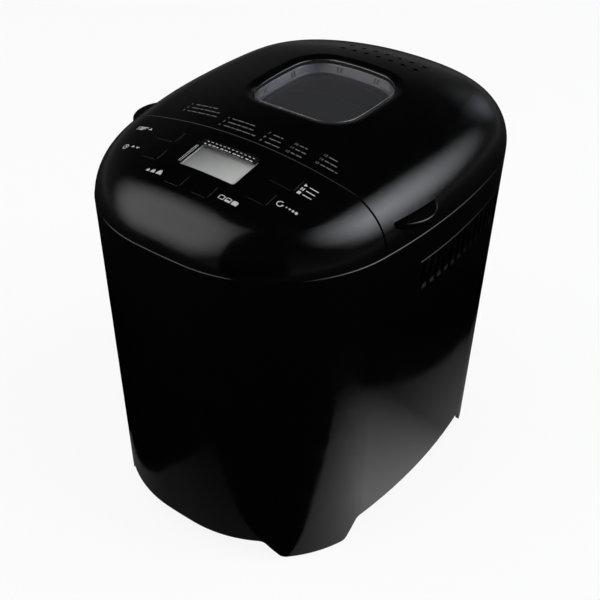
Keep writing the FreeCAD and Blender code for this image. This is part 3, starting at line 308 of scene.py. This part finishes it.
def number(value, x, y, size):
    curve = bpy.data.curves.new("number", "FONT")
    curve.body = str(value)
    writer = bpy.data.objects.new("number", curve)
    mesh = bpy.data.meshes.new_from_object(writer)
    outlines = []
    for polygon in mesh.polygons:
        corners = [mesh.vertices[index].co for index in polygon.vertices]
        outlines.append([(x + corner.x * size, y + corner.y * size) for corner in corners])
    bpy.data.objects.remove(writer)
    bpy.data.curves.remove(curve)
    bpy.data.meshes.remove(mesh)
    return outlines


# Pictograms beside the keys, about 13 mm wide
def list_mark(x, y):
    marks = []
    for row in (-1.3, 0.0, 1.3):
        marks.append(bar(x, y + row, 0.8, 0.75))
        marks.append(bar(x + 1.6, y + row, 5.4 + row, 0.75))
    marks.append([(x + 9.4, y - 0.4), (x + 12.6, y - 0.4), (x + 11.0, y + 1.6)])
    return marks


def clock_mark(x, y):
    marks = band(x + 2.1, y, 2.1, 1.55)
    marks.append(bar(x + 1.85, y + 0.6, 0.5, 1.3))
    marks.append(bar(x + 1.9, y, 1.25, 0.5))
    marks.append([(x + 6.2, y + 0.35), (x + 9.2, y + 0.35), (x + 7.7, y + 2.0)])
    marks.append([(x + 10.2, y + 1.3), (x + 11.7, y - 0.35), (x + 13.2, y + 1.3)])
    return marks


def weights_mark(x, y):
    marks = []
    left = x
    for width, height in ((2.4, 2.2), (3.2, 3.0), (4.2, 3.9)):
        foot = y - 2.0
        marks.append([(left, foot), (left + width, foot), (left + width * 0.8, foot + height * 0.75),
                      (left + width * 0.2, foot + height * 0.75)])
        marks += band(left + width / 2, foot + height * 0.82, height * 0.2, height * 0.1, steps=14)
        left += width + 1.1
    return marks


def loaf_outline(x, y, size):
    corners = [(x, y), (x + size, y), (x + size, y + size * 0.45)]
    for step in range(7):
        turn = math.radians(-20 + 220 * step / 6)
        corners.append((x + size / 2 + size * 0.56 * math.cos(turn),
                        y + size * 0.62 + size * 0.26 * math.sin(turn)))
    return corners + [(x, y + size * 0.45)]


def loaves_mark(x, y):
    low = y - 1.8
    marks = frame_line(loaf_outline(x, low, 3.8), 0.42)
    marks += frame_line(loaf_outline(x + 4.8, low, 3.8), 0.42)
    marks.append(bar(x + 5.2, low + 0.9, 3.0, 1.1))
    marks.append(loaf_outline(x + 9.6, low, 3.8))
    return marks


def cycle_mark(x, y):
    marks = band(x + 2.2, y, 2.2, 1.6, 60, 350)
    marks.append([(x + 3.2, y + 0.1), (x + 5.0, y + 0.1), (x + 4.1, y - 1.3)])
    for step, size in enumerate((0.5, 0.65, 0.8, 0.95)):
        marks.append(disc(x + 6.8 + step * 2.3, y, size, 16))
    return marks


def start_mark(x, y):
    pitch = 3.5
    marks = [[(x, y + pitch - 1.2), (x + 2.2, y + pitch), (x, y + pitch + 1.2)]]
    marks += [bar(x, y, 0.8, 2.3), bar(x + 1.4, y, 0.8, 2.3), bar(x, y - pitch, 2.2, 2.2)]
    marks += [bar(x + 3.6, y + row, 6.4, 0.6) for row in (pitch, 0.0, -pitch)]
    return marks


# Places of the pictograms on the panel
PANEL_MARKS = (
    (list_mark, -75.0, -80.2),
    (clock_mark, -68.6, -100.0),
    (weights_mark, -34.2, -113.9),
    (loaves_mark, 21.5, -113.4),
    (cycle_mark, 51.6, -98.8),
    (start_mark, 55.6, -81.6),
)


def make_panel_marks():
    panel = solid_tree("control_panel")
    marks = []
    for make_mark, x, y in PANEL_MARKS:
        marks += make_mark(x, y)
    print_marks("panel_marks", marks, panel, "base", ink_white)


# Programme list on the lid: fifteen numbers, each with a few short bars. A column has its place and width.
LIST_COLUMNS = (
    (-60.6, -44.6, 30),
    (-25.0, -50.8, 29),
    (8.5, -52.3, 15),
    (28.0, -51.8, 13),
    (48.0, -49.5, 16),
)
LIST_LINES = (0.75, 0.9, 1.0)
LIST_PITCH = 4.3
LIST_INDENT = 4.0
NUMBER_SIZE = 2.9
NUMBER_DROP = 1.0
WORD_HEIGHT = 0.75
WORD_GAP = 0.9
SHORTEST_WORD = 1.5
LIST_WORDS = (3.4, 5.2, 2.6, 4.4, 6.0, 3.0, 4.8)


def make_lid_marks():
    lid = solid_tree("lid_cover")
    marks = []
    value = 0
    word = 0
    for x, y, width in LIST_COLUMNS:
        for line, share in enumerate(LIST_LINES):
            value += 1
            low = y - line * LIST_PITCH
            marks += number(value, x, low - NUMBER_DROP, NUMBER_SIZE)
            left = x + LIST_INDENT
            stop = x + width * share
            while left < stop - SHORTEST_WORD:
                length = min(LIST_WORDS[word % len(LIST_WORDS)], stop - left)
                marks.append(bar(left, low, length, WORD_HEIGHT))
                left += length + WORD_GAP
                word += 1
    print_marks("lid_marks", marks, lid, "lid", ink_grey)


# Display: a silver screen on the module, and a dark scale strip printed on the lens over it. A strip has its
# left end, middle line, width, height and the number of bars that it is made of.
SCREEN_STRIP = (-19.9, -89.6, 39.0, 21.2, 8)
MASK_STRIP = (-21.5, -78.7, 43.0, 5.2, 6)
SCREEN_LIFT = 0.1
MASK_LIFT = 0.05
EDGE_LINES = (-21.9, -20.6)
EDGE_LINE_MIDDLE = -92.0
EDGE_LINE_WIDTH = 0.3
EDGE_LINE_HEIGHT = 17.0
TICK_COUNT = 12
TICK_START = -18.6
TICK_PITCH = 3.2
LOW_TICKS = -80.3
LOW_TICK_WIDTHS = (1.4, 2.2, 2.2)
LOW_TICK_HEIGHT = 0.8
HIGH_TICKS = -77.6
HIGH_TICK_INDENT = 0.3
HIGH_TICK_WIDTH = 1.5
HIGH_TICK_HEIGHT = 0.5


def strip_of_bars(left, middle, width, height, count):
    step = width / count
    return [bar(left + step * column, middle, step, height) for column in range(count)]


def make_display():
    module = solid_tree("lcd_module")
    lens = solid_tree("display_lens")
    screen = strip_of_bars(*SCREEN_STRIP)
    print_marks("lcd_screen", screen, module, "base", screen_silver_painted_light, lift=SCREEN_LIFT)
    mask = strip_of_bars(*MASK_STRIP)
    print_marks("lens_mask", mask, lens, "base", ink_black, lift=MASK_LIFT)
    scale = [bar(x, EDGE_LINE_MIDDLE, EDGE_LINE_WIDTH, EDGE_LINE_HEIGHT) for x in EDGE_LINES]
    for tick in range(TICK_COUNT):
        x = TICK_START + tick * TICK_PITCH
        scale.append(bar(x, LOW_TICKS, LOW_TICK_WIDTHS[tick % 3], LOW_TICK_HEIGHT))
        scale.append(bar(x + HIGH_TICK_INDENT, HIGH_TICKS, HIGH_TICK_WIDTH, HIGH_TICK_HEIGHT))
    print_marks("lens_scale", scale, lens, "base", ink_white, lift=SCREEN_LIFT)


# Window well: a ribbed silver frame between the two panes, with pairs of clip posts
WINDOW_HALF = 40.0
WINDOW_BOW = 260.0
WINDOW_CORNER = 22.0
WINDOW_MIDDLE = 17.5
GLASS_DROP = 2.2
WELL_PROFILE = ((0.35, 4.75), (0.8, 4.75), (1.2, 5.5), (1.2, 6.0), (2.6, 9.3), (3.4, 9.5), (3.9, 10.0),
                (3.9, 10.9), (0.35, 10.9))
TRIM_PROFILE = ((0.35, 2.1), (0.35, 1.95), (0.45, 1.88), (0.6, 1.9), (0.7, 2.1))
CLIP_PROFILE = ((1.4, 5.9), (2.35, 6.1), (3.1, 9.35), (2.4, 9.4))
RIB_ROWS = (3, 4)
RIB_DEPTH = 0.14
SIDE_STATIONS = 56
CORNER_STATIONS = 48
CLIP_STATIONS = (3, 7, SIDE_STATIONS - 8, SIDE_STATIONS - 4)


# Stations round the window: an arc centre, the direction out of it and the arc's radius
def window_stations():
    side = WINDOW_HALF - WINDOW_BOW
    reach = WINDOW_BOW - WINDOW_CORNER
    corner = (side + math.sqrt(2 * reach * reach - side * side)) / 2
    half_turn = math.atan2(corner, corner - side)
    stations = []
    for quarter in range(4):
        turn = math.pi / 2 * quarter
        cos, sin = math.cos(turn), math.sin(turn)
        arcs = ((side, 0.0, WINDOW_BOW, -half_turn, half_turn, SIDE_STATIONS),
                (corner, corner, WINDOW_CORNER, half_turn, math.pi / 2 - half_turn, CORNER_STATIONS))
        for x, y, radius, start, end, count in arcs:
            for step in range(count):
                angle = start + (end - start) * step / count + turn
                middle = (x * cos - y * sin, x * sin + y * cos)
                stations.append((*middle, radius, math.cos(angle), math.sin(angle)))
    return stations


def window_point(tree, station, inset, deep):
    x, y, radius, along_x, along_y = station
    return drop(tree, x + (radius - inset) * along_x, WINDOW_MIDDLE + y + (radius - inset) * along_y,
                GLASS_DROP - deep)


# A closed profile carried round the window, with every second station of the ribbed rows set in
def window_ring(tree, profile, ribbed):
    points = []
    faces = []
    stations = window_stations()
    rows = len(profile)
    for index, station in enumerate(stations):
        for row, (inset, deep) in enumerate(profile):
            rib = RIB_DEPTH if row in ribbed and index % 2 else 0.0
            points.append(window_point(tree, station, inset + rib, deep))
    count = len(stations)
    for index in range(count):
        after = (index + 1) % count
        for row in range(rows):
            below = (row + 1) % rows
            here = index * rows
            there = after * rows
            faces.append([here + row, there + row, there + below, here + below])
    return points, faces


def make_window_well():
    glass = solid_tree("window_glass")
    points, faces = window_ring(glass, WELL_PROFILE, RIB_ROWS)
    well = new_piece("window_well", "lid", silver_satin, points, faces, smooth=False)
    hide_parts("window_frame")
    points, faces = window_ring(glass, TRIM_PROFILE, ())
    new_piece("window_trim", "lid", silver_bright, points, faces)


def make_window_clips():
    glass = solid_tree("window_glass")
    stations = window_stations()
    points = []
    faces = []
    per_quarter = SIDE_STATIONS + CORNER_STATIONS
    for quarter in range(4):
        for step in CLIP_STATIONS:
            first = stations[quarter * per_quarter + step]
            last = stations[quarter * per_quarter + step + 1]
            start = len(points)
            for inset, deep in CLIP_PROFILE:
                points += [window_point(glass, first, inset, deep), window_point(glass, last, inset, deep)]
            for row in range(4):
                here = start + row * 2
                below = start + (row + 1) % 4 * 2
                faces.append([here, here + 1, below + 1, below])
            faces.append([start, start + 2, start + 4, start + 6])
            faces.append([start + 1, start + 7, start + 5, start + 3])
    new_piece("window_clips", "lid", silver_satin, points, faces, smooth=False)


# A fine bead along the top of the vents on each side
VENT_TOP = 214.5
LIP_SPAN = (-30.0, 81.0)
LIP_STATIONS = 56
LIP_ABOVE_SLOTS = 1.4
LIP_RADIUS = 0.5
LIP_CORNERS = 12


def make_vent_lips():
    shell = solid_tree("body_shell")
    height = (VENT_TOP + LIP_ABOVE_SLOTS) * MM
    points = []
    faces = []
    for side in (-1, 1):
        start = len(points)
        for station in range(LIP_STATIONS + 1):
            share = station / LIP_STATIONS
            y = (LIP_SPAN[0] + (LIP_SPAN[1] - LIP_SPAN[0]) * share + axis_y) * MM
            x = shell.ray_cast(Vector((side, y, height)), Vector((-side, 0, 0)))[0].x
            for across, up in disc(0, 0, LIP_RADIUS, LIP_CORNERS):
                points.append(Vector((x + across * MM, y, height + up * MM)))
        for station in range(LIP_STATIONS):
            ring = start + station * LIP_CORNERS
            for corner in range(LIP_CORNERS):
                after = (corner + 1) % LIP_CORNERS
                beyond = ring + LIP_CORNERS
                faces.append([ring + corner, ring + after, beyond + after, beyond + corner])
        last = start + LIP_STATIONS * LIP_CORNERS
        faces.append([start + corner for corner in range(LIP_CORNERS)])
        faces.append([last + corner for corner in reversed(range(LIP_CORNERS))])
    new_piece("vent_lips", "base", materials["black_gloss"], points, faces)


ink_white = surface("ink_white", grey(0.46), grey(0.52), (0.4, 0.5), 0.03, 1500)
ink_grey = surface("ink_grey", grey(0.11), grey(0.14), (0.4, 0.5), 0.03, 1500)
ink_black = surface("ink_black", grey(0.004), grey(0.007), (0.2, 0.3), 0.02, 1500)
silver_bright = surface("silver_bright", grey(0.5), grey(0.58), (0.25, 0.35), 0.03, 900, Metallic=1.0)
silver_satin = surface("silver_satin", (0.61, 0.61, 0.66, 1), (0.69, 0.69, 0.74, 1), (0.3, 0.4), 0.06, 900,
                       Metallic=0.7)


# The screen's silver is painted lighter towards its front right corner: painted light there, painted shade
# towards its back left
SCREEN_PAINTED_FADE = (0.070, 0.122)
SCREEN_PAINTED_SHADE = (0.19, 0.195, 0.19, 1)
SCREEN_PAINTED_LIGHT = (0.7, 0.71, 0.68, 1)
SCREEN_GRAIN = 2500
SCREEN_RELIEF = 0.03


def make_screen_material():
    material, tree, shader = new_material("screen_silver_painted_light", Roughness=0.35)
    where = add(tree, "ShaderNodeTexCoord").outputs["Object"]
    parts = add(tree, "ShaderNodeSeparateXYZ", {"Vector": where})
    across = add(tree, "ShaderNodeMath", operation="SUBTRACT")
    tree.links.new(parts.outputs["X"], across.inputs[0])
    tree.links.new(parts.outputs["Y"], across.inputs[1])
    # Painted light and shade: the colour goes from the shaded silver to the lit silver across the screen
    share = spread(tree, across.outputs[0], 0.0, 1.0, *SCREEN_PAINTED_FADE)
    colour = blend_colours(tree, share, SCREEN_PAINTED_SHADE, SCREEN_PAINTED_LIGHT)
    tree.links.new(colour, shader.inputs["Base Color"])
    grain = noise(tree, where, SCREEN_GRAIN)
    tree.links.new(bump(tree, grain, SCREEN_RELIEF), shader.inputs["Normal"])
    return material


screen_silver_painted_light = make_screen_material()

make_panel_marks()
make_lid_marks()
make_display()
make_window_well()
make_window_clips()
make_vent_lips()


# Floor, world and lamps
FLOOR_SIZE = 60
FLOOR_COLOUR = 0.85
FLOOR_WHITE = 0.9


def make_floor():
    bpy.ops.mesh.primitive_plane_add(size=FLOOR_SIZE)
    floor = bpy.context.object
    floor.name = "floor"
    material = bpy.data.materials.new("floor")
    material.use_nodes = True
    tree = material.node_tree
    tree.nodes.remove(tree.nodes["Principled BSDF"])
    diffuse = add(tree, "ShaderNodeBsdfDiffuse", {"Color": grey(FLOOR_COLOUR)})
    glow = add(tree, "ShaderNodeEmission", {"Color": grey(1.0), "Strength": 1.0})
    mix = add(tree, "ShaderNodeMixShader")
    tree.links.new(seen(tree, FLOOR_WHITE), mix.inputs[0])
    tree.links.new(diffuse.outputs[0], mix.inputs[1])
    tree.links.new(glow.outputs[0], mix.inputs[2])
    tree.links.new(mix.outputs[0], tree.nodes["Material Output"].inputs["Surface"])
    floor.data.materials.append(material)


# One for rays from the camera, from mirrors and through glass, scaled by share
def seen(tree, share):
    path = add(tree, "ShaderNodeLightPath")
    total = path.outputs["Is Camera Ray"]
    for kind in ("Is Glossy Ray", "Is Transmission Ray"):
        node = add(tree, "ShaderNodeMath", operation="MAXIMUM")
        tree.links.new(total, node.inputs[0])
        tree.links.new(path.outputs[kind], node.inputs[1])
        total = node.outputs[0]
    node = add(tree, "ShaderNodeMath", operation="MULTIPLY")
    tree.links.new(total, node.inputs[0])
    node.inputs[1].default_value = share
    return node.outputs[0]


# The camera sees a white world. Gloss sees a dark one, with a faint glow at the horizon.
HORIZON_GLOW = 0.07
HORIZON_TOP = 0.63


def make_world():
    world = bpy.data.worlds.new("world")
    world.use_nodes = True
    scene.world = world
    tree = world.node_tree
    sky = tree.nodes["Background"]
    sky.inputs["Color"].default_value = grey(1.0)
    where = add(tree, "ShaderNodeTexCoord").outputs["Generated"]
    height = add(tree, "ShaderNodeSeparateXYZ", {"Vector": where}).outputs["Z"]
    tree.links.new(spread(tree, height, HORIZON_GLOW, 0.0, 0.0, HORIZON_TOP), sky.inputs["Strength"])
    white = add(tree, "ShaderNodeBackground", {"Color": grey(1.0), "Strength": 1.0})
    mix = add(tree, "ShaderNodeMixShader")
    path = add(tree, "ShaderNodeLightPath")
    tree.links.new(path.outputs["Is Camera Ray"], mix.inputs[0])
    tree.links.new(sky.outputs[0], mix.inputs[1])
    tree.links.new(white.outputs[0], mix.inputs[2])
    tree.links.new(mix.outputs[0], tree.nodes["World Output"].inputs["Surface"])


# A soft lamp: a panel whose glow fades to its edges, seen from the machine at an azimuth and an elevation
LAMP_AIM = Vector((0, 0, 0.2))


def make_softbox(name, azimuth, elevation, distance, width, height, roll, glow, hold, colour):
    turn = math.radians(azimuth)
    lift = math.radians(elevation)
    out = Vector((math.sin(turn) * math.cos(lift), math.cos(turn) * math.cos(lift), math.sin(lift)))
    bpy.ops.mesh.primitive_plane_add(size=1)
    panel = bpy.context.object
    panel.name = name
    panel.scale = (width, height, 1)
    panel.location = LAMP_AIM + out * distance
    panel.rotation_mode = "QUATERNION"
    rolled = Quaternion((0, 0, 1), math.radians(roll))
    panel.rotation_quaternion = (-out).to_track_quat("Z", "Y") @ rolled
    material = bpy.data.materials.new(name)
    material.use_nodes = True
    tree = material.node_tree
    tree.nodes.remove(tree.nodes["Principled BSDF"])
    where = add(tree, "ShaderNodeTexCoord").outputs["Object"]
    doubled = add(tree, "ShaderNodeMapping", {"Vector": where, "Scale": (2, 2, 2)}).outputs["Vector"]
    middle = add(tree, "ShaderNodeTexGradient", {"Vector": doubled}, gradient_type="SPHERICAL")
    ends = {"Value": middle.outputs["Fac"], "From Min": 0.0, "From Max": hold}
    ends.update({"To Min": 0.0, "To Max": glow})
    fade = add(tree, "ShaderNodeMapRange", ends, interpolation_type="SMOOTHSTEP")
    light = add(tree, "ShaderNodeEmission", {"Color": colour, "Strength": fade.outputs["Result"]})
    clear = add(tree, "ShaderNodeBsdfTransparent")
    both = add(tree, "ShaderNodeAddShader")
    tree.links.new(light.outputs[0], both.inputs[0])
    tree.links.new(clear.outputs[0], both.inputs[1])
    tree.links.new(both.outputs[0], tree.nodes["Material Output"].inputs["Surface"])
    panel.data.materials.append(material)
    panel.visible_camera = False


# A broad fill from above that evens the light on the surfaces and doesn't show in gloss
FILL_SIZE = 4.0
FILL_HEIGHT = 2.4
FILL_GLOW = 0.7


def make_fill():
    bpy.ops.mesh.primitive_plane_add(size=FILL_SIZE, location=(0, 0, FILL_HEIGHT))
    panel = bpy.context.object
    panel.name = "fill_panel"
    panel.data.materials.append(card_material("fill_panel", FILL_GLOW)[0])
    panel.visible_camera = False
    panel.visible_glossy = False
    panel.visible_transmission = False


# Cards that show only in gloss: painted reflections, not lamps. On the floor lie a dark one that lightens far
# out, a painted reflection of dark surroundings, pale ones beside the machine that darken outwards, a painted
# pool of light on the floor, and dim ones before and behind it, a painted reflection of floor in the
# machine's shade. Two black flags trim the lamps in gloss only, as painted dark cuts in the highlights. A
# pale glow has its level, its middle and its reach, and a fade its two levels and the places where they are
# reached.
CARD_REACH = 40000
DARK_LIFT = 0.4
DIM_LIFT = 0.6
PALE_LIFT = 0.8
PALE_FRONT = ((60, -121), (131, -120), (173, -110), (217, -97), (258, -85), (262, -71), (225, 6))
PALE_RIGHT = (*PALE_FRONT, (166, 101), (126, 168), (81, 225), (0, 232), (0, 0))
PALE_LEFT = (*PALE_FRONT, (195, 55), (130, 62), (0, 62), (0, 0))
DIM_CARD = ((0, -246), (25, -219), (46, -190), (61, -159), (71, -137), (60, -90), (-80, -90), (-112, -112),
            (-89, -130), (-72, -150), (-56, -174), (-50, -192), (-34, -217))
PALE_GLOWS = ((0.72, (0.125, -0.045), (0.13, 0.105)), (0.2, (0.1, 0.01), (0.14, 0.23)))
DIM_FADE = (0.015, 0.07, -0.246, -0.15)
DARK_FADE = (0.0, 0.1, 0.3, 3.0)
FLAG_DISTANCE = 900
FLAG_HEIGHT = 2600
ROOF_HEIGHT = 1200
ROOF_RADIUS = 430


def card_material(name, level):
    material = bpy.data.materials.new(name)
    material.use_nodes = True
    tree = material.node_tree
    tree.nodes.remove(tree.nodes["Principled BSDF"])
    light = add(tree, "ShaderNodeEmission", {"Color": grey(1.0), "Strength": level})
    tree.links.new(light.outputs[0], tree.nodes["Material Output"].inputs["Surface"])
    return material, tree, light


# Painted pool of light: the pale cards' glow, seen only in gloss, stands for lit floor and fades outwards
def make_pale_material():
    material, tree, light = card_material("pale_card", 1.0)
    where = add(tree, "ShaderNodeTexCoord").outputs["Object"]
    total = 0.0
    for level, middle, reach in PALE_GLOWS:
        scale = (1 / reach[0], 1 / reach[1], 1)
        shift = (-middle[0] / reach[0], -middle[1] / reach[1], 0)
        moved = {"Vector": where, "Scale": scale, "Location": shift}
        local = add(tree, "ShaderNodeMapping", moved).outputs["Vector"]
        glow = add(tree, "ShaderNodeTexGradient", {"Vector": local}, gradient_type="SPHERICAL")
        terms = {0: glow.outputs["Fac"], 1: level, 2: total}
        total = add(tree, "ShaderNodeMath", terms, operation="MULTIPLY_ADD").outputs[0]
    tree.links.new(total, light.inputs["Strength"])
    return material


# Painted shade: the dim cards' faint glow, seen only in gloss, stands for floor in the machine's shade
def make_dim_material():
    material, tree, light = card_material("dim_card", 0.0)
    where = add(tree, "ShaderNodeTexCoord").outputs["Object"]
    along = add(tree, "ShaderNodeSeparateXYZ", {"Vector": where}).outputs["Y"]
    tree.links.new(spread(tree, along, *DIM_FADE), light.inputs["Strength"])
    return material


# Painted reflection: the dark card, seen only in gloss, stands for dark surroundings and lightens far out
def make_dark_material():
    material, tree, light = card_material("dark_card", 0.0)
    where = add(tree, "ShaderNodeTexCoord").outputs["Object"]
    away = add(tree, "ShaderNodeVectorMath", {0: where}, operation="LENGTH")
    fade = spread(tree, away.outputs["Value"], *DARK_FADE)
    tree.links.new(fade, light.inputs["Strength"])
    return material


def make_card(name, corners, turn, material):
    mesh = bpy.data.meshes.new(name)
    mesh.from_pydata([(x * MM, y * MM, z * MM) for x, y, z in corners], [], [range(len(corners))])
    mesh.materials.append(material)
    card = bpy.data.objects.new(name, mesh)
    card.rotation_euler.z = math.radians(turn)
    scene.collection.objects.link(card)
    card.visible_camera = False
    card.visible_diffuse = False
    card.visible_transmission = False
    card.visible_shadow = False


def flat(outline, height):
    return [(x, y, height) for x, y in outline]


def make_cards():
    reach = CARD_REACH
    square = ((-reach, -reach), (reach, -reach), (reach, reach), (-reach, reach))
    make_card("dark_card", flat(square, DARK_LIFT), 0, make_dark_material())
    pale = make_pale_material()
    dim = make_dim_material()
    make_card("dim_card_front", flat(DIM_CARD, DIM_LIFT), 0, dim)
    make_card("dim_card_back", flat(DIM_CARD, DIM_LIFT), 180, dim)
    make_card("pale_card_right", flat(PALE_RIGHT, PALE_LIFT), 0, pale)
    make_card("pale_card_left", flat(PALE_LEFT, PALE_LIFT), 180, pale)
    # Black flags seen only in gloss: painted dark cuts in the lamps' highlights
    black = card_material("black_flag", 0.0)[0]
    make_card("roof_flag", flat(disc(0, 0, ROOF_RADIUS, 48), ROOF_HEIGHT), 0, black)
    far, high = FLAG_DISTANCE, FLAG_HEIGHT
    make_card("side_flag", [(0, -far, 0), (far, -far, 0), (far, -far, high), (0, -far, high)], 0, black)


make_floor()
make_world()
make_cards()
make_fill()
make_softbox("left_softbox", azimuth=-141, elevation=34, distance=1.57, width=2.9, height=3.1, roll=20,
             glow=1.72, hold=0.75, colour=(1.0, 0.97, 0.98, 1))
make_softbox("right_softbox", azimuth=63.2, elevation=38.3, distance=1.6, width=3.05, height=2.1, roll=31.4,
             glow=5.24, hold=1.2, colour=(0.9, 0.93, 1.0, 1))
make_softbox("rear_softbox", azimuth=1, elevation=19, distance=1.6, width=1.1, height=1.1, roll=0,
             glow=0.48, hold=1.0, colour=(0.8, 0.87, 1.0, 1))
